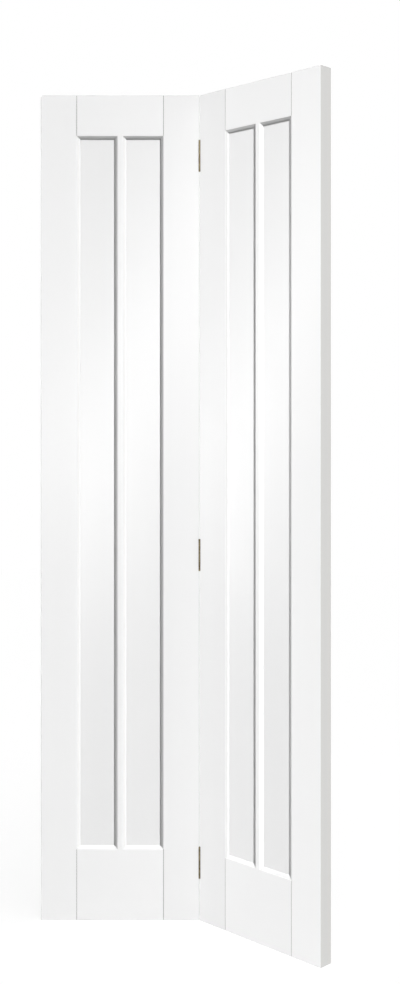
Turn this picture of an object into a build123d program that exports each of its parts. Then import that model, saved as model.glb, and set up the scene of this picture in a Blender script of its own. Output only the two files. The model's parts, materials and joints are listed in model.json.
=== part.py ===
from build123d import *
import os

# Bi-fold door: two panelled leaves joined at the fold by three butt hinges, standing part folded.
# Each leaf is a framed door: two stiles, two rails and a mullion with a moulded edge worked on them,
# round two tall flat panels that are tongued into grooves.
# Millimetres, +Z up. The origin is the mouth of the bottom pivot bore, in the pivot leaf's bottom edge.
# +X runs along the pivot leaf towards the fold, and the hinge knuckles show on the -Y side.

# The pair of leaves
DOOR_HEIGHT = 1981.0
DOOR_WIDTH = 762.0  # both leaves laid flat, with the gap between them
LEAF_THICKNESS = 35.0
LEAF_GAP = 1.0  # between the two fold edges with the door flat
FOLD_ANGLE = 45.0  # turn of the lead leaf out of the pivot leaf's plane
ARRIS_RADIUS = 0.8  # easing of the stiles' outer corners

# Frame members: the flat width that shows on the face, up to the moulded edge
STILE_FACE = 86.0
TOP_RAIL_FACE = 97.0
BOTTOM_RAIL_FACE = 170.0
MULLION_FACE = 12.0

# Moulded edge round each panel: a long bevel from the face, then a short steep one down to the panel
MOULD_WIDTH = 8.5
MOULD_DEPTH = 4.2  # from the leaf's face down to the panel's face
BEVEL_WIDTH = 5.7
BEVEL_FALL = 2.1  # how far the long bevel drops across its width

# Panel tongues and the grooves that hold them
GROOVE_WIDTH = 12.0
GROOVE_DEPTH = 9.0
TONGUE_SIDE_CLEARANCE = 0.2  # on each side of a tongue's thickness
TONGUE_END_CLEARANCE = 0.5  # between a tongue's end and the groove's floor
PANEL_CLEARANCE = 0.2  # between the panel's thick middle and the moulded edge

# Narrow groove along each line where a rail meets a stile
JOINT_WIDTH = 0.9
JOINT_DEPTH = 1.5

# Butt hinges at the fold
HINGE_LENGTH = 76.0
HINGE_FROM_TOP = 145.0  # leaf's top edge to the middle of the top hinge
HINGE_MIDDLE_HEIGHT = 877.0
HINGE_BOTTOM_HEIGHT = 138.0
PIN_PROUD = 0.5  # hinge pin's centre in front of the leaves' faces
PLATE_THICKNESS = 1.2
KNUCKLE_RADIUS = 2.3
PLATE_REACH = 24.0  # hinge pin's centre to the plate's back edge
KNUCKLES = 5
KNUCKLE_END_CLEARANCE = 0.2  # between one knuckle and the next
KNUCKLE_SIDE_CLEARANCE = 0.3  # round a knuckle, to the wood and to the other plate
PLATE_END_CLEARANCE = 0.2  # between a plate's edges and its recess
PIN_CLEARANCE = 0.05  # radial, in the knuckles
PIN_OVERHANG = 0.6  # how far the pin's ends stand past the end knuckles
PIN_CHAMFER = 0.4
SCREW_HOLE_RADIUS = 1.8
SCREW_HEAD_RADIUS = 3.0
SCREW_SPACING = 26.0
SCREW_NEAR = 11.0  # hinge pin's centre to the outer pair of screws
SCREW_FAR = 17.0  # hinge pin's centre to the middle screw

# Bores for the pivots and the track guide
PIVOT_RADIUS = 5.0
PIVOT_DEPTH = 40.0
PIVOT_INSET = 30.0  # outer edge of the leaf to the bore's centre

# A leaf is drawn flat, as the lead leaf: x out from the hinge pin, y back from it, z up from the bottom edge.
LEAF_WIDTH = (DOOR_WIDTH - LEAF_GAP) / 2
FOLD_EDGE = LEAF_GAP / 2
OUTER_EDGE = FOLD_EDGE + LEAF_WIDTH
LEAF_MIDDLE = (FOLD_EDGE + OUTER_EDGE) / 2
FRONT_FACE = PIN_PROUD
BACK_FACE = FRONT_FACE + LEAF_THICKNESS
MID_DEPTH = (FRONT_FACE + BACK_FACE) / 2
FOLD_JOINT = FOLD_EDGE + STILE_FACE
OUTER_JOINT = OUTER_EDGE - STILE_FACE
TOP_JOINT = DOOR_HEIGHT - TOP_RAIL_FACE
PLATE_BACK = FOLD_EDGE + PLATE_THICKNESS  # each plate is let in flush with its fold edge
PIN_BORE_RADIUS = KNUCKLE_RADIUS - PLATE_THICKNESS  # a knuckle is the plate's end rolled round the pin
PIVOT_X = OUTER_EDGE - PIVOT_INSET
HINGE_HEIGHTS = {
    "top": DOOR_HEIGHT - HINGE_FROM_TOP,
    "middle": HINGE_MIDDLE_HEIGHT,
    "bottom": HINGE_BOTTOM_HEIGHT,
}


def block(x, y, z):
    """A box between the (low, high) pairs given for x, y and z."""
    low, high = zip(x, y, z)
    size = [b - a for a, b in zip(low, high)]
    return Pos(*low) * Box(*size, align=(Align.MIN, Align.MIN, Align.MIN))


def round_bar(radius, x, y, z):
    """An upright cylinder on (x, y) between the (low, high) pair z."""
    align = (Align.CENTER, Align.CENTER, Align.MIN)
    return Pos(x, y, z[0]) * Cylinder(radius, z[1] - z[0], align=align)


def moulded_side(face):
    """Outline of a member's moulded edge, from its front face round the panel groove to its back face.

    The first coordinate runs towards the panel, from the member's own zero, and the second through
    its thickness.
    """
    half = LEAF_THICKNESS / 2
    brow = face + BEVEL_WIDTH
    tip = face + MOULD_WIDTH
    slot = GROOVE_WIDTH / 2
    floor = tip - GROOVE_DEPTH
    bevels = [(face, half), (brow, half - BEVEL_FALL), (tip, half - MOULD_DEPTH)]
    groove = [(tip, -slot), (floor, -slot), (floor, slot), (tip, slot)]
    front = [(reach, -depth) for reach, depth in bevels]
    return Polyline(*front, *groove, *reversed(bevels))


def edge_member_profile(face):
    """Section of a stile or rail: a square outer edge at zero and a moulded edge towards the panel."""
    half = LEAF_THICKNESS / 2
    outside = Polyline((face, half), (0, half), (0, -half), (face, -half))
    return make_face([moulded_side(face), outside])


def mullion_profile():
    """Section of the mullion: the moulded edge worked on both of its sides."""
    side = make_face([
        moulded_side(MULLION_FACE / 2),
        Polyline(
            (MULLION_FACE / 2, LEAF_THICKNESS / 2),
            (0, LEAF_THICKNESS / 2),
            (0, -LEAF_THICKNESS / 2),
            (MULLION_FACE / 2, -LEAF_THICKNESS / 2),
        ),
    ])
    return side + mirror(side, about=Plane.YZ)


def across_leaf(part):
    """The same piece on the other long side of the leaf."""
    return mirror(part, about=Plane(origin=(LEAF_MIDDLE, 0, 0), z_dir=(1, 0, 0)))


def stile_blank():
    """The fold stile before its hinges are let in: one moulded length with eased outer corners."""
    profile = edge_member_profile(STILE_FACE)
    outer_corners = profile.vertices().group_by(Axis.X)[0]
    profile = fillet(outer_corners, ARRIS_RADIUS)
    stile = extrude(profile, DOOR_HEIGHT, dir=(0, 0, 1))
    return Pos(FOLD_EDGE, MID_DEPTH, 0) * stile


def rail_blank(face, bottom_edge, upwards):
    """A rail from one stile's joint to the other, moulded on the side towards the panels."""
    turn = 1 if upwards else -1
    start = OUTER_JOINT if upwards else FOLD_JOINT
    plane = Plane(origin=(start, MID_DEPTH, bottom_edge), x_dir=(0, 0, turn), z_dir=(-turn, 0, 0))
    return extrude(plane * edge_member_profile(face), OUTER_JOINT - FOLD_JOINT)


def joint_grooves():
    """The grooves at the joints: on both faces, along both stiles, as far as each rail's face reaches."""
    half = JOINT_WIDTH / 2
    cuts = []
    for joint in (FOLD_JOINT, OUTER_JOINT):
        for depth in ((FRONT_FACE, FRONT_FACE + JOINT_DEPTH), (BACK_FACE - JOINT_DEPTH, BACK_FACE)):
            for length in ((0, BOTTOM_RAIL_FACE), (TOP_JOINT, DOOR_HEIGHT)):
                cuts.append(block((joint - half, joint + half), depth, length))
    return cuts


def hinge_span(middle, clearance=0.0):
    """The (low, high) heights of a hinge whose middle is at that height."""
    half = HINGE_LENGTH / 2 + clearance
    return middle - half, middle + half


def hinge_recess(middle):
    """What is cut from a fold stile for one hinge: the plate's bed and room for the knuckles and pin."""
    plate_span = hinge_span(middle, PLATE_END_CLEARANCE)
    pin_span = hinge_span(middle, PIN_OVERHANG + KNUCKLE_SIDE_CLEARANCE)
    bed = block((FOLD_EDGE, PLATE_BACK), (0, PLATE_REACH + PLATE_END_CLEARANCE), plate_span)
    return bed + round_bar(KNUCKLE_RADIUS + KNUCKLE_SIDE_CLEARANCE, 0, 0, pin_span)


def pivot_bore(top):
    """A blind bore in the outer stile's top or bottom end."""
    span = (DOOR_HEIGHT - PIVOT_DEPTH, DOOR_HEIGHT) if top else (0, PIVOT_DEPTH)
    return round_bar(PIVOT_RADIUS, PIVOT_X, MID_DEPTH, span)


def panel(low_x, high_x):
    """A flat panel between two moulded edges, with the tongue that sits in their grooves."""
    tongue_reach = GROOVE_DEPTH - TONGUE_END_CLEARANCE
    low_z = BOTTOM_RAIL_FACE + MOULD_WIDTH
    high_z = TOP_JOINT - MOULD_WIDTH
    middle_half = LEAF_THICKNESS / 2 - MOULD_DEPTH
    tongue_half = GROOVE_WIDTH / 2 - TONGUE_SIDE_CLEARANCE

    def slab(grow, half_thickness):
        return block(
            (low_x - grow, high_x + grow),
            (MID_DEPTH - half_thickness, MID_DEPTH + half_thickness),
            (low_z - grow, high_z + grow),
        )

    return slab(-PANEL_CLEARANCE, middle_half) + slab(tongue_reach, tongue_half)


def leaf(bored_ends):
    """One leaf's wooden pieces, flat. bored_ends says which ends of the outer stile are bored."""
    fold_blank = stile_blank()
    outer_blank = across_leaf(fold_blank)
    bottom_blank = rail_blank(BOTTOM_RAIL_FACE, 0, upwards=True)
    top_blank = rail_blank(TOP_RAIL_FACE, DOOR_HEIGHT, upwards=False)
    mullion_blank = extrude(mullion_profile(), TOP_JOINT - BOTTOM_RAIL_FACE, dir=(0, 0, 1))
    mullion_blank = Pos(LEAF_MIDDLE, MID_DEPTH, BOTTOM_RAIL_FACE) * mullion_blank

    # Rails are scribed over the stiles' moulding, and the mullion over the rails'.
    bottom_rail = bottom_blank - [fold_blank, outer_blank]
    top_rail = top_blank - [fold_blank, outer_blank]
    mullion = mullion_blank - [bottom_blank, top_blank]

    joints = joint_grooves()
    hinges = [hinge_recess(height) for height in HINGE_HEIGHTS.values()]
    bores = [pivot_bore(end == "top") for end in bored_ends]
    half_mullion = MULLION_FACE / 2 + MOULD_WIDTH
    return {
        "fold_stile": fold_blank - [*joints, *hinges],
        "outer_stile": outer_blank - [*joints, *bores],
        "bottom_rail": bottom_rail - joints,
        "top_rail": top_rail - joints,
        "mullion": mullion,
        "fold_panel": panel(FOLD_JOINT + MOULD_WIDTH, LEAF_MIDDLE - half_mullion),
        "outer_panel": panel(LEAF_MIDDLE + half_mullion, OUTER_JOINT - MOULD_WIDTH),
    }


def hinge_plate(middle, first_knuckle):
    """One hinge plate, flat in its fold stile, with every second knuckle from first_knuckle up."""
    low, high = hinge_span(middle)
    pitch = HINGE_LENGTH / KNUCKLES
    root = KNUCKLE_RADIUS + KNUCKLE_SIDE_CLEARANCE
    plate = block((FOLD_EDGE, PLATE_BACK), (root, PLATE_REACH), (low, high))
    for index in range(first_knuckle, KNUCKLES, 2):
        start = low + index * pitch + KNUCKLE_END_CLEARANCE / 2
        span = (start, start + pitch - KNUCKLE_END_CLEARANCE)
        plate += block((FOLD_EDGE, PLATE_BACK), (0, root), span)
        plate += round_bar(KNUCKLE_RADIUS, 0, 0, span)
    plate -= round_bar(PIN_BORE_RADIUS, 0, 0, (low, high))
    for step in (-1, 0, 1):
        reach = SCREW_FAR if step == 0 else SCREW_NEAR
        place = Pos(FOLD_EDGE + PLATE_THICKNESS / 2, reach, middle + step * SCREW_SPACING)
        plate -= place * Rot(0, 90, 0) * Cone(SCREW_HEAD_RADIUS, SCREW_HOLE_RADIUS, PLATE_THICKNESS)
    return plate


def hinge_pin(middle):
    """A fixed hinge pin, its chamfered ends just proud of the end knuckles."""
    pin = round_bar(PIN_BORE_RADIUS - PIN_CLEARANCE, 0, 0, hinge_span(middle, PIN_OVERHANG))
    return chamfer(pin.edges().filter_by(GeomType.CIRCLE), PIN_CHAMFER)


def build():
    """Every piece by name, in place."""
    to_origin = Pos(PIVOT_X, -MID_DEPTH, 0)
    folded = to_origin * Rot(0, 0, -FOLD_ANGLE)

    def place_pivot(part):
        return to_origin * mirror(part, about=Plane.YZ)

    pieces = {}
    for name, part in leaf(("top", "bottom")).items():
        pieces[f"pivot_leaf_{name}"] = place_pivot(part)
    for name, part in leaf(("top",)).items():
        pieces[f"lead_leaf_{name}"] = folded * part
    for name, height in HINGE_HEIGHTS.items():
        pieces[f"{name}_hinge_pivot_plate"] = place_pivot(hinge_plate(height, first_knuckle=0))
        pieces[f"{name}_hinge_lead_plate"] = folded * hinge_plate(height, first_knuckle=1)
        pieces[f"{name}_hinge_pin"] = to_origin * hinge_pin(height)
    return pieces


os.makedirs("parts", exist_ok=True)
for node, solid in build().items():
    export_step(solid, f"parts/{node}.step")
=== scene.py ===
import json
import math

import bpy
import numpy as np
from mathutils import Matrix, Vector


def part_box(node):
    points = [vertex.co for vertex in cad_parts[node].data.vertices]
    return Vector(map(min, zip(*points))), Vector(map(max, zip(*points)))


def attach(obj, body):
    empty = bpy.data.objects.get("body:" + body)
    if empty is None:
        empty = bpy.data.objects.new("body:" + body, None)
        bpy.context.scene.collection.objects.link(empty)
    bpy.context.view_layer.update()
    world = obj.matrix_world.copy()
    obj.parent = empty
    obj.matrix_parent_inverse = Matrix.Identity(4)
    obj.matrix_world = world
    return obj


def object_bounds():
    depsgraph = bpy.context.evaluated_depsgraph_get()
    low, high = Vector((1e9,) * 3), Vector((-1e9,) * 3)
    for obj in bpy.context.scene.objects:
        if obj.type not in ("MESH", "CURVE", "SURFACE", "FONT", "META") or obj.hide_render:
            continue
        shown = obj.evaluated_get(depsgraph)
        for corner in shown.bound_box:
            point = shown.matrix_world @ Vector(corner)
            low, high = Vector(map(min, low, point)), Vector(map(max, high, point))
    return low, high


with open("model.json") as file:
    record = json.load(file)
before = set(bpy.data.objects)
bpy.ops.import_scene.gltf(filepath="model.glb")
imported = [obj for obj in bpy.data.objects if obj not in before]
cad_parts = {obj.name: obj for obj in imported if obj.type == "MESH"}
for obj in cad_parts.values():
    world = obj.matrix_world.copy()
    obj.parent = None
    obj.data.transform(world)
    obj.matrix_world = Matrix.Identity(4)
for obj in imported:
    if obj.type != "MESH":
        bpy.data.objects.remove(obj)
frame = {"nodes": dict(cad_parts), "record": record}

scene = bpy.context.scene
cadLow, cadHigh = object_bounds()
cadNodes = frame["nodes"]
upwards = Vector((0, 0, 1))
hingeNames = ("top", "middle", "bottom")


# Where the two leaves lie, read from the frame
def mountPlace(name):
    found = next(m for m in frame["record"]["mounts"] if m["name"] == name)
    return Vector(found["pos_m"])


def boxMiddle(node):
    low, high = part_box(node)
    return (low + high) / 2


pivotPlace = mountPlace("bottom_pivot")
guidePlace = mountPlace("top_guide")
foldLine = boxMiddle("middle_hinge_pin")
stileLow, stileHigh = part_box("pivot_leaf_outer_stile")
railLow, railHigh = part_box("pivot_leaf_top_rail")
mullionLow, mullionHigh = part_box("pivot_leaf_mullion")
doorHeight = stileHigh.z
leafThickness = stileHigh.y - stileLow.y
pivotFront = stileLow.y
foldReach = foldLine.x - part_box("pivot_leaf_fold_stile")[1].x  # hinge pin to a fold edge
leafWidth = foldLine.x - foldReach - stileLow.x
jointReach = (railHigh.x - railLow.x) / 2  # leaf's middle to where a rail meets a stile

# The lead leaf's turn: where its guide bore is, against where it would be with the door flat
flatGuide = Vector((foldLine.x - pivotPlace.x, pivotPlace.y - foldLine.y))
actualGuide = (guidePlace - foldLine).to_2d()
leadTurn = math.atan2(actualGuide.y, actualGuide.x) - math.atan2(flatGuide.y, flatGuide.x)

# Each leaf's own axes, as its face is looked at: along it to the right, and out of the face
leaves = {
    "pivot": {"turn": 0.0, "side": -1},
    "lead": {"turn": leadTurn, "side": 1},
}
for leafName, leaf in leaves.items():
    leaf["along"] = Vector((math.cos(leaf["turn"]), math.sin(leaf["turn"]), 0))
    leaf["out"] = leaf["along"].cross(upwards)
    leaf["faceMiddle"] = (
        Vector((foldLine.x, foldLine.y, doorHeight / 2))
        + leaf["along"] * leaf["side"] * (foldReach + leafWidth / 2)
        + leaf["out"] * (foldLine.y - pivotFront)
    )
    leaf["wood"] = [o for n, o in cadNodes.items() if n.startswith(leafName + "_leaf")]
    leaf["metal"] = [o for n, o in cadNodes.items() if n.endswith(leafName + "_plate")]
    leaf["metal"] += [o for n, o in cadNodes.items() if n.endswith("_pin")]
print("frame read: lead leaf turned", round(math.degrees(leadTurn), 2), "degrees")


# Node helpers
def addNode(tree, kind, **settings):
    node = tree.nodes.new(kind)
    for key, value in settings.items():
        setattr(node, key, value)
    return node


def setInputs(node, **values):
    for key, value in values.items():
        node.inputs[key.replace("_", " ")].default_value = value
    return node


def calculate(tree, operation, *values):
    node = addNode(tree, "ShaderNodeMath", operation=operation)
    for socket, value in zip(node.inputs, values):
        if isinstance(value, (int, float)):
            socket.default_value = value
        else:
            tree.links.new(value, socket)
    return node.outputs[0]


def addUp(tree, *shares):
    total = 0.0
    for value, share in shares:
        total = calculate(tree, "MULTIPLY_ADD", value, share, total)
    return total


def spread(tree, value, low, high, toLow=0.0, toHigh=1.0):
    node = addNode(tree, "ShaderNodeMapRange", clamp=True)
    setInputs(node, From_Min=low, From_Max=high, To_Min=toLow, To_Max=toHigh)
    tree.links.new(value, node.inputs["Value"])
    return node.outputs["Result"]


def noise(tree, vector, scale, detail=2.0, roughness=0.5):
    node = addNode(tree, "ShaderNodeTexNoise")
    setInputs(node, Scale=scale, Detail=detail, Roughness=roughness)
    tree.links.new(vector, node.inputs["Vector"])
    return node.outputs["Fac"]


def stretched(tree, vector, scale):
    node = addNode(tree, "ShaderNodeMapping")
    setInputs(node, Scale=scale)
    tree.links.new(vector, node.inputs["Vector"])
    return node.outputs["Vector"]


def mixColour(tree, factor, first, second, blend="MIX"):
    node = addNode(tree, "ShaderNodeMix", data_type="RGBA", blend_type=blend)
    for label, value in (("Factor", factor), ("A", first), ("B", second)):
        if isinstance(value, (float, tuple)):
            node.inputs[label].default_value = value
        else:
            tree.links.new(value, node.inputs[label])
    return node.outputs["Result"]


def bumpNormal(tree, height, settings):
    node = addNode(tree, "ShaderNodeBump")
    setInputs(node, Strength=settings["bumpStrength"], Distance=settings["bumpDistance"])
    tree.links.new(height, node.inputs["Height"])
    return node.outputs["Normal"]


def newMaterial(name):
    material = bpy.data.materials.new(name)
    material.use_nodes = True
    return material, material.node_tree, material.node_tree.nodes["Principled BSDF"]


def newGroup(name, inputs, outputs):
    group = bpy.data.node_groups.new(name, "ShaderNodeTree")
    for label in inputs:
        group.interface.new_socket(label, in_out="INPUT", socket_type="NodeSocketVector")
    for label in outputs:
        group.interface.new_socket(label, in_out="OUTPUT", socket_type="NodeSocketFloat")
    return group, group.nodes.new("NodeGroupInput"), group.nodes.new("NodeGroupOutput")


def placeGroup(tree, group, **vectors):
    node = addNode(tree, "ShaderNodeGroup", node_tree=group)
    for label, vector in vectors.items():
        tree.links.new(vector, node.inputs[label])
    return node.outputs


# Sprayed primer: fine peel, slow clouds of film thickness and a trace of the grain below it.
# Both vectors run along the leaf, through it and up it, in metres, the second drawn out along the grain.
primerFilm = {
    "peelScale": 420.0,
    "fineScale": 1500.0,
    "cloudScale": 3.2,
    "streakScale": 26.0,
    "glossShares": {"cloud": 0.6, "streak": 0.4},
    "heightShares": {"peel": 0.7, "fine": 0.2, "streak": 0.25},
    "glossRange": (0.3, 0.7),  # where most of the gloss pattern lies
    "tone": (0.985, 1.0),
}


def buildPrimerGroup():
    group, source, sink = newGroup("sprayedPrimer", ("Vector", "Grain"), ("Tone", "Gloss", "Height"))
    vector = source.outputs["Vector"]
    peel = noise(group, vector, primerFilm["peelScale"])
    fine = noise(group, vector, primerFilm["fineScale"], detail=1.0)
    cloud = noise(group, vector, primerFilm["cloudScale"], detail=3.0)
    streak = noise(group, source.outputs["Grain"], primerFilm["streakScale"], detail=4.0, roughness=0.6)
    share = primerFilm["glossShares"]
    gloss = addUp(group, (streak, share["streak"]), (cloud, share["cloud"]))
    share = primerFilm["heightShares"]
    height = addUp(group, (fine, share["fine"]), (peel, share["peel"]), (streak, share["streak"]))
    tone = spread(group, gloss, *primerFilm["glossRange"], *primerFilm["tone"])
    group.links.new(tone, sink.inputs["Tone"])
    group.links.new(gloss, sink.inputs["Gloss"])
    group.links.new(height, sink.inputs["Height"])
    return group


# Where shade is painted into the colour: the trimmed edges beyond the eased corners, the mouldings,
# which lie below the leaf's face, and the grooves at the joints.
# The vector is measured from the leaf's middle, along it towards the fold, through it and up it.
thinCoat = {
    "sideArris": (0.0009, 0.0003),  # in from an edge: where the painted shade starts and where it is full
    "foldArris": (0.0009, 0.00077),
    "endArris": (0.0004, 0.00013),
    "belowFace": (0.0001, 0.0003),  # depth at which a moulding starts, and where its painted shade is full
    "jointHalfWidth": 0.00053,
}


def buildPaintedShadeGroup():
    group, source, sink = newGroup("thinCoat", ("Vector",), ("Edges", "Mouldings", "Joints"))
    split = addNode(group, "ShaderNodeSeparateXYZ")
    group.links.new(source.outputs["Vector"], split.inputs[0])
    across, through, over = (calculate(group, "ABSOLUTE", split.outputs[axis]) for axis in "XYZ")

    def inFrom(size, value, label):
        starts, shaded = (size / 2 - inwards for inwards in thinCoat[label])
        return spread(group, value, starts, shaded)

    # the edges' mask carries painted shade into the colour, and extra mattness
    sides = inFrom(leafWidth, across, "sideArris")
    fold = inFrom(leafWidth, split.outputs["X"], "foldArris")
    ends = inFrom(doorHeight, over, "endArris")
    edges = calculate(group, "MAXIMUM", calculate(group, "MAXIMUM", sides, fold), ends)
    group.links.new(edges, sink.inputs["Edges"])
    group.links.new(inFrom(leafThickness, through, "belowFace"), sink.inputs["Mouldings"])

    # the joints' mask: painted shade in the grooves where the rails meet the stiles
    fromJoint = calculate(group, "ABSOLUTE", calculate(group, "SUBTRACT", across, jointReach))
    atJoint = calculate(group, "LESS_THAN", fromJoint, thinCoat["jointHalfWidth"])
    beyondTop = calculate(group, "GREATER_THAN", split.outputs["Z"], mullionHigh.z - doorHeight / 2)
    belowBottom = calculate(group, "LESS_THAN", split.outputs["Z"], mullionLow.z - doorHeight / 2)
    atRail = calculate(group, "MAXIMUM", beyondTop, belowBottom)
    group.links.new(calculate(group, "MULTIPLY", atJoint, atRail), sink.inputs["Joints"])
    return group


primerGroup = buildPrimerGroup()
paintedShadeGroup = buildPaintedShadeGroup()

# The paint: satin white on the faces, with shade painted into the colour: darker on the mouldings,
# darker and warmer on the trimmed edges, which are also duller, and dark in the joint grooves
paint = {
    "frame": {
        "colour": (0.872, 0.872, 0.872, 1.0),
        # painted shade: the mouldings written darker than the faces, as if shaded in their recess
        "mouldingShadeColour": (0.655, 0.655, 0.655, 1.0),  # on the mouldings
        "roughness": (0.28, 0.31),
    },
    "panel": {
        "colour": (0.806, 0.806, 0.806, 1.0),
        "mouldingShadeColour": (0.806, 0.806, 0.806, 1.0),
        "roughness": (0.28, 0.32),
    },
    # painted shade: the trimmed edges written darker, to keep them grey under the key lamps
    "edgeShadeColour": (0.49, 0.488, 0.478, 1.0),
    "edgeMattness": 0.40,
    # painted shade: the joint grooves written dark, as if shaded
    "jointShadeColour": (0.27, 0.262, 0.25, 1.0),
    "bumpDistance": 0.00006,
    "bumpStrength": 0.3,
}
grainScale = {"upright": (1.0, 1.0, 0.03), "level": (0.03, 1.0, 1.0)}


def paintMaterial(name, leaf, finish, grain):
    material, tree, shader = newMaterial(name)
    coordinates = addNode(tree, "ShaderNodeTexCoord")
    ownAxes = addNode(tree, "ShaderNodeMapping", vector_type="TEXTURE")
    middle = leaf["faceMiddle"] - leaf["out"] * (leafThickness / 2)
    setInputs(ownAxes, Location=middle, Rotation=(0, 0, leaf["turn"]), Scale=(-leaf["side"], 1, 1))
    tree.links.new(coordinates.outputs["Object"], ownAxes.inputs["Vector"])
    own = ownAxes.outputs["Vector"]

    film = placeGroup(tree, primerGroup, Vector=own, Grain=stretched(tree, own, grainScale[grain]))
    shaded = placeGroup(tree, paintedShadeGroup, Vector=own)
    # painted shade on the mouldings
    coat = mixColour(tree, shaded["Mouldings"], finish["colour"], finish["mouldingShadeColour"])
    # painted shade on the trimmed edges
    coat = mixColour(tree, shaded["Edges"], coat, paint["edgeShadeColour"])
    # painted shade in the joint grooves
    coat = mixColour(tree, shaded["Joints"], coat, paint["jointShadeColour"])
    coat = mixColour(tree, 1.0, coat, film["Tone"], "MULTIPLY")
    tree.links.new(coat, shader.inputs["Base Color"])

    gloss = spread(tree, film["Gloss"], *primerFilm["glossRange"], *finish["roughness"])
    matt = calculate(tree, "MULTIPLY_ADD", shaded["Edges"], paint["edgeMattness"], gloss)
    tree.links.new(matt, shader.inputs["Roughness"])
    tree.links.new(bumpNormal(tree, film["Height"], paint), shader.inputs["Normal"])
    return material


def dress(node, material):
    slots = cadNodes[node].data.materials
    slots.clear()
    slots.append(material)


# Finish, grain and nodes
leafPieces = {
    "Upright": ("frame", "upright", ("outer_stile", "fold_stile", "mullion")),
    "Level": ("frame", "level", ("top_rail", "bottom_rail")),
    "Panel": ("panel", "upright", ("outer_panel", "fold_panel")),
}
for leafName, leaf in leaves.items():
    for label, (finish, grain, parts) in leafPieces.items():
        painted = paintMaterial(leafName + label, leaf, paint[finish], grain)
        for part in parts:
            dress(f"{leafName}_leaf_{part}", painted)
print("leaves painted")


# Hinge brass: drawn lines up the knuckles, with a brown tarnish that gathers in clouds
brass = {
    "bright": (0.23, 0.195, 0.12, 1.0),
    "tarnish": (0.12, 0.096, 0.056, 1.0),
    "roughness": (0.26, 0.44),
    "lineScale": (2600.0, 2600.0, 60.0),
    "cloudScale": 130.0,
    "bumpDistance": 0.00002,
    "bumpStrength": 0.4,
    "spreadOf": {"plate": 0.22, "pin": 0.30, "screw": 0.16},  # how far the tarnish has spread
    "tarnishRange": (0.62, 0.82),  # where in the clouds it starts and is full, before it spreads
    "wearShares": {"lines": 0.5, "tarnish": 0.5},
    "wearRange": (0.1, 0.9),
}


def brassMaterial(piece):
    material, tree, shader = newMaterial(piece + "Brass")
    shader.inputs["Metallic"].default_value = 1.0
    coordinates = addNode(tree, "ShaderNodeTexCoord").outputs["Object"]
    lines = noise(tree, stretched(tree, coordinates, brass["lineScale"]), scale=1.0)
    clouds = noise(tree, coordinates, brass["cloudScale"], detail=4.0, roughness=0.6)
    starts, full = (cloud - brass["spreadOf"][piece] for cloud in brass["tarnishRange"])
    tarnish = spread(tree, clouds, starts, full)
    colour = mixColour(tree, tarnish, brass["bright"], brass["tarnish"])
    tree.links.new(colour, shader.inputs["Base Color"])
    share = brass["wearShares"]
    wear = addUp(tree, (tarnish, share["tarnish"]), (lines, share["lines"]))
    roughness = spread(tree, wear, *brass["wearRange"], *brass["roughness"])
    tree.links.new(roughness, shader.inputs["Roughness"])
    tree.links.new(bumpNormal(tree, lines, brass), shader.inputs["Normal"])
    return material


plateBrass, pinBrass, screwBrass = (brassMaterial(piece) for piece in ("plate", "pin", "screw"))
for hinge in hingeNames:
    dress(f"{hinge}_hinge_pivot_plate", plateBrass)
    dress(f"{hinge}_hinge_lead_plate", plateBrass)
    dress(f"{hinge}_hinge_pin", pinBrass)
print("hinges finished")


# Countersunk cross-head screws, three to a plate
screws = {
    "headRadius": 0.0029,
    "neckRadius": 0.0017,
    "headDepth": 0.00115,
    "sunk": 0.00006,  # rim below the plate's face
    "crown": 0.00004,  # rise of the middle over the rim
    "armLength": 0.0019,
    "armHalfWidth": 0.00036,
    "armSoftness": 0.00012,
    "crossDepth": 0.0007,
    "rings": 26,
    "spokes": 72,
    "spacing": 0.026,
    "fromPin": (0.011, 0.017, 0.011),  # back from the hinge pin: bottom, middle and top screw
    "turns": (12.0, 57.0, 31.0),  # where each cross came to rest, degrees
}


# One head's surface over the circle: height is the sunk rim, plus a crown that falls with the square of
# the radius, less a cross. Each arm of the cross is a soft-sided slot whose depth falls in a straight
# line from the middle to the arm's end. Below the rim the surface runs in to the neck as a cone.
def screwHead(turn):
    rings, spokes = screws["rings"], screws["spokes"]
    radius = np.linspace(0, screws["headRadius"], rings + 1)[1:, None]
    angle = np.linspace(0, 2 * np.pi, spokes, endpoint=False)[None, :]
    flatX, flatY = radius * np.cos(angle), radius * np.sin(angle)
    turned = angle - math.radians(turn)
    armX, armY = radius * np.cos(turned), radius * np.sin(turned)

    def arm(alongArm, acrossArm):
        inside = (screws["armHalfWidth"] - np.abs(acrossArm)) / screws["armSoftness"]
        fall = 1 - np.abs(alongArm) / screws["armLength"]
        return np.clip(inside, 0, 1) * np.clip(fall, 0, 1)

    cross = np.maximum(arm(armX, armY), arm(armY, armX))
    crown = screws["crown"] * (1 - (radius / screws["headRadius"]) ** 2)
    height = crown - screws["sunk"] - screws["crossDepth"] * cross
    top = np.stack([flatX, flatY, height + 0 * angle], axis=-1).reshape(-1, 3)
    neck = screws["neckRadius"] * np.stack([np.cos(angle), np.sin(angle)], axis=-1).reshape(-1, 2)
    neck = np.column_stack([neck, np.full(spokes, -screws["headDepth"])])
    topMiddle = (0, 0, screws["crown"] - screws["sunk"] - screws["crossDepth"])
    points = np.vstack([topMiddle, top, neck, (0, 0, -screws["headDepth"])])

    here = np.arange(spokes)
    following = (here + 1) % spokes
    start = 1 + np.arange(rings)[:, None] * spokes  # every ring but the neck's, which the last joins to
    quads = np.stack(
        [start + here, start + spokes + here, start + spokes + following, start + following], axis=-1
    ).reshape(-1, 4)
    topFan = np.column_stack([np.zeros_like(here), 1 + here, 1 + following])
    lastRing = 1 + rings * spokes
    bottomMiddle = np.full(spokes, len(points) - 1)
    bottomFan = np.column_stack([bottomMiddle, lastRing + following, lastRing + here])
    return points, quads, np.vstack([topFan, bottomFan])


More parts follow.
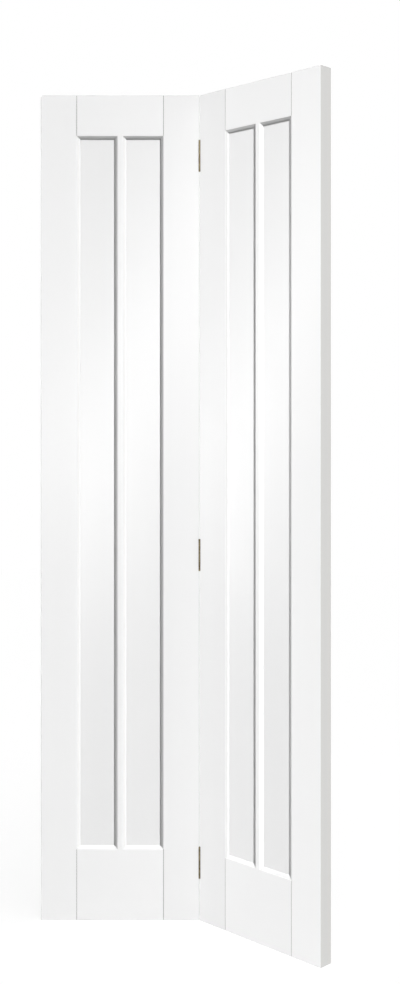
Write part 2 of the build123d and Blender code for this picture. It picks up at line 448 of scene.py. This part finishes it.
def makeScrews(hinge, leafName):
    leaf = leaves[leafName]
    outOfPlate = leaf["along"] * -leaf["side"]
    axes = np.array([upwards.cross(outOfPlate), upwards, outOfPlate]).T
    plateFace = boxMiddle(f"{hinge}_hinge_pin") - outOfPlate * foldReach
    points, faces, count = [], [], 0
    for step, back, turn in zip((-1, 0, 1), screws["fromPin"], screws["turns"]):
        middle = plateFace - leaf["out"] * back + upwards * step * screws["spacing"]
        local, quads, triangles = screwHead(turn)
        points.append(local @ axes.T + np.array(middle))
        faces += (quads + count).tolist() + (triangles + count).tolist()
        count += len(local)
    mesh = bpy.data.meshes.new(f"{hinge}_hinge_{leafName}_screws")
    mesh.from_pydata(np.vstack(points).tolist(), [], faces)
    mesh.materials.append(screwBrass)
    piece = bpy.data.objects.new(mesh.name, mesh)
    scene.collection.objects.link(piece)
    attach(piece, "root")
    leaf["metal"].append(piece)


for hinge in hingeNames:
    for leafName in leaves:
        makeScrews(hinge, leafName)
print("screws seated")


# Camera: level and square to the pivot leaf, as the picture was taken
picture = {"width": 400, "height": 984}
shot = {
    "fromFace": 3.097,  # metres in front of the pivot leaf's face
    "rightOfFold": 0.0425,
    "height": 1.2117,
    "focalPixels": 1289.0,
    "axisPixel": (217.2, 415.7),  # where the lens axis meets the picture
    "sensor": 36.0,
}


def placeCamera():
    data = bpy.data.cameras.new("camera")
    made = bpy.data.objects.new("camera", data)
    scene.collection.objects.link(made)
    made.location = (foldLine.x + shot["rightOfFold"], pivotFront - shot["fromFace"], shot["height"])
    made.rotation_euler = (math.radians(90), 0, 0)
    data.sensor_width = shot["sensor"]
    data.lens = shot["focalPixels"] * shot["sensor"] / picture["height"]
    data.shift_x = (picture["width"] / 2 - shot["axisPixel"][0]) / picture["height"]
    data.shift_y = (shot["axisPixel"][1] - picture["height"] / 2) / picture["height"]
    scene.camera = made
    return made


camera = placeCamera()
print("camera placed")


# Studio: a white ground, an even sky, and for each leaf key lamps and strip lights of its own,
# because the picture shows both leaves lit alike from their own upper right
def whiteForViewer(tree):
    path = addNode(tree, "ShaderNodeLightPath")
    seen = calculate(tree, "MAXIMUM", path.outputs["Is Camera Ray"], path.outputs["Is Glossy Ray"])
    return calculate(tree, "MAXIMUM", seen, path.outputs["Is Transmission Ray"])


sky = {"ambient": 0.25}


def makeSky():
    world = bpy.data.worlds.new("studio")
    scene.world = world
    world.use_nodes = True
    tree = world.node_tree
    background = tree.nodes["Background"]
    background.inputs["Color"].default_value = (1, 1, 1, 1)
    strength = spread(tree, whiteForViewer(tree), 0.0, 1.0, sky["ambient"], 1.0)
    tree.links.new(strength, background.inputs["Strength"])


ground = {
    "size": 14.0,
    "colour": (0.26, 0.26, 0.26, 1.0),  # what it sends back to the door
    "glow": 0.79,  # what the viewer sees on top of that, up to white
}


def makeGround():
    half = ground["size"] / 2
    middle = (cadLow + cadHigh) / 2
    corners = np.array([(-1, -1), (1, -1), (1, 1), (-1, 1)]) * half + np.array(middle)[:2]
    mesh = bpy.data.meshes.new("floor")
    mesh.from_pydata(np.column_stack([corners, np.zeros(4)]).tolist(), [], [(0, 1, 2, 3)])
    made = bpy.data.objects.new("floor", mesh)
    scene.collection.objects.link(made)
    material, tree, shader = newMaterial("floorWhite")
    tree.nodes.remove(shader)
    matt = setInputs(addNode(tree, "ShaderNodeBsdfDiffuse"), Color=ground["colour"])
    glow = addNode(tree, "ShaderNodeEmission")
    strength = spread(tree, whiteForViewer(tree), 0.0, 1.0, 0.0, ground["glow"])
    tree.links.new(strength, glow.inputs["Strength"])
    both = addNode(tree, "ShaderNodeAddShader")
    tree.links.new(matt.outputs[0], both.inputs[0])
    tree.links.new(glow.outputs[0], both.inputs[1])
    tree.links.new(both.outputs[0], tree.nodes["Material Output"].inputs["Surface"])
    mesh.materials.append(material)
    return made


def lamp(name, kind, place, towards, roll=0.0, **settings):
    data = bpy.data.lights.new(name, kind)
    for key, value in settings.items():
        setattr(data, key, value)
    made = bpy.data.objects.new(name, data)
    scene.collection.objects.link(made)
    aim = (towards - place).to_track_quat("-Z", "Y").to_matrix().to_4x4()
    made.matrix_world = Matrix.Translation(place) @ aim @ Matrix.Rotation(math.radians(roll), 4, "Z")
    return made


def keepTo(made, lit, shading):
    linking = made.light_linking
    for label, objects in (("receiver", lit), ("blocker", shading)):
        chosen = bpy.data.collections.new(f"{made.name}_{label}")
        for item in objects:
            chosen.objects.link(item)
        setattr(linking, label + "_collection", chosen)


sunDistance = 4.0  # a sun lights from its direction alone, so this only keeps it clear of the door


def sunOn(name, place, light, softness, lit, shading):
    sun = lamp(
        name, "SUN", place + light.normalized() * sunDistance, place,
        energy=math.pi * light.length, angle=math.radians(softness),
    )
    keepTo(sun, lit, shading)


# Light that each key sends along a leaf's axes: along it, up and out of its face. A white surface that
# faces an axis gets that share of full light. The fold stiles get less, because each leaf lights the
# other there, and the lead leaf's outer stile gets less along it, because its outer edge shows.
# Softness is the angle that a lamp fills, in degrees.
keys = {
    "pivotKey": {"leaf": "pivot", "light": (1.05, 1.2, 0.726), "except": ("fold_stile",)},
    "pivotFoldKey": {"leaf": "pivot", "light": (0.98, 1.2, 0.687), "only": ("fold_stile",)},
    "leadFoldKey": {"leaf": "lead", "light": (1.4, 1.15, 0.67), "only": ("fold_stile",)},
    "leadKey": {"leaf": "lead", "light": (1.8, 1.35, 0.735), "except": ("fold_stile", "outer_stile")},
    "leadOuterKey": {"leaf": "lead", "light": (1.1, 1.15, 0.765), "only": ("outer_stile",)},
}
keySoftness = 9.0


def lightLeaves():
    for name, key in keys.items():
        leaf = leaves[key["leaf"]]
        along, up, out = key["light"]
        light = leaf["along"] * along + upwards * up + leaf["out"] * out
        if "only" in key:
            lit = [o for o in leaf["wood"] if o.name.endswith(key["only"])]
        else:
            lit = leaf["metal"] + [o for o in leaf["wood"] if not o.name.endswith(key["except"])]
        sunOn(name, leaf["faceMiddle"], light, keySoftness, lit, leaf["wood"])


# A strip stands where its leaf, as a mirror, would show it to the camera, then moved along the leaf and
# set to a height. It makes the sheen alone.
strips = {
    "pivotFrameStrip": {"leaf": "pivot", "watts": 23.3, "tilt": -34.6, "height": 1.87, "shift": 0.33},
    "pivotPanelStrip": {"leaf": "pivot", "watts": 41.2, "tilt": -29.7, "height": 1.45, "shift": 0.14},
    "leadFrameStrip": {"leaf": "lead", "watts": 15.6, "tilt": -32.4, "height": 1.62, "shift": 0.12},
    "leadPanelStrip": {"leaf": "lead", "watts": 29.2, "tilt": -27.7, "height": 1.44, "shift": 0.12},
}
stripSize = (0.10, 2.6)


def placeStrips():
    for name, strip in strips.items():
        leaf = leaves[strip["leaf"]]
        middle, out = leaf["faceMiddle"], leaf["out"]
        toCamera = camera.location - middle
        place = middle + 2 * toCamera.dot(out) * out - toCamera + leaf["along"] * strip["shift"]
        place.z = strip["height"]
        width, length = stripSize
        made = lamp(
            name, "AREA", place, Vector((middle.x, middle.y, place.z)), roll=strip["tilt"],
            shape="RECTANGLE", size=width, size_y=length, energy=strip["watts"],
        )
        made.visible_diffuse = False
        made.visible_camera = False
        panels = [o for o in leaf["wood"] if o.name.endswith("_panel")]
        frameAndMetal = [o for o in leaf["wood"] if o not in panels] + leaf["metal"]
        keepTo(made, panels if "Panel" in name else frameAndMetal, leaf["wood"])


# Fills along the frame's own axes: the back of both leaves, the pivot leaf's outer edge, and the ground
fills = {
    "backKey": {"light": (0.33, 0.45, 0.10), "softness": 40.0, "leaves": ("pivot", "lead")},
    "leftKey": {"light": (-1.2, 0.20, 0.10), "softness": 24.0, "leaves": ("pivot",)},
}
groundKey = {"light": (0.12, -0.18, 0.55), "softness": 50.0}


def lightBackAndGround(floor):
    middle = (cadLow + cadHigh) / 2
    door = list(cadNodes.values())
    for name, fill in fills.items():
        lit = [o for n in fill["leaves"] for o in leaves[n]["wood"] + leaves[n]["metal"]]
        once = dict.fromkeys(lit)  # the leaves share the hinge pins
        sunOn(name, middle, Vector(fill["light"]), fill["softness"], once, door)
    sunOn("groundKey", middle, Vector(groundKey["light"]), groundKey["softness"], [floor], door)


makeSky()
floorPiece = makeGround()
lightLeaves()
placeStrips()
lightBackAndGround(floorPiece)
scene.view_settings.view_transform = "Standard"
print("studio lit")

bpy.context.view_layer.update()
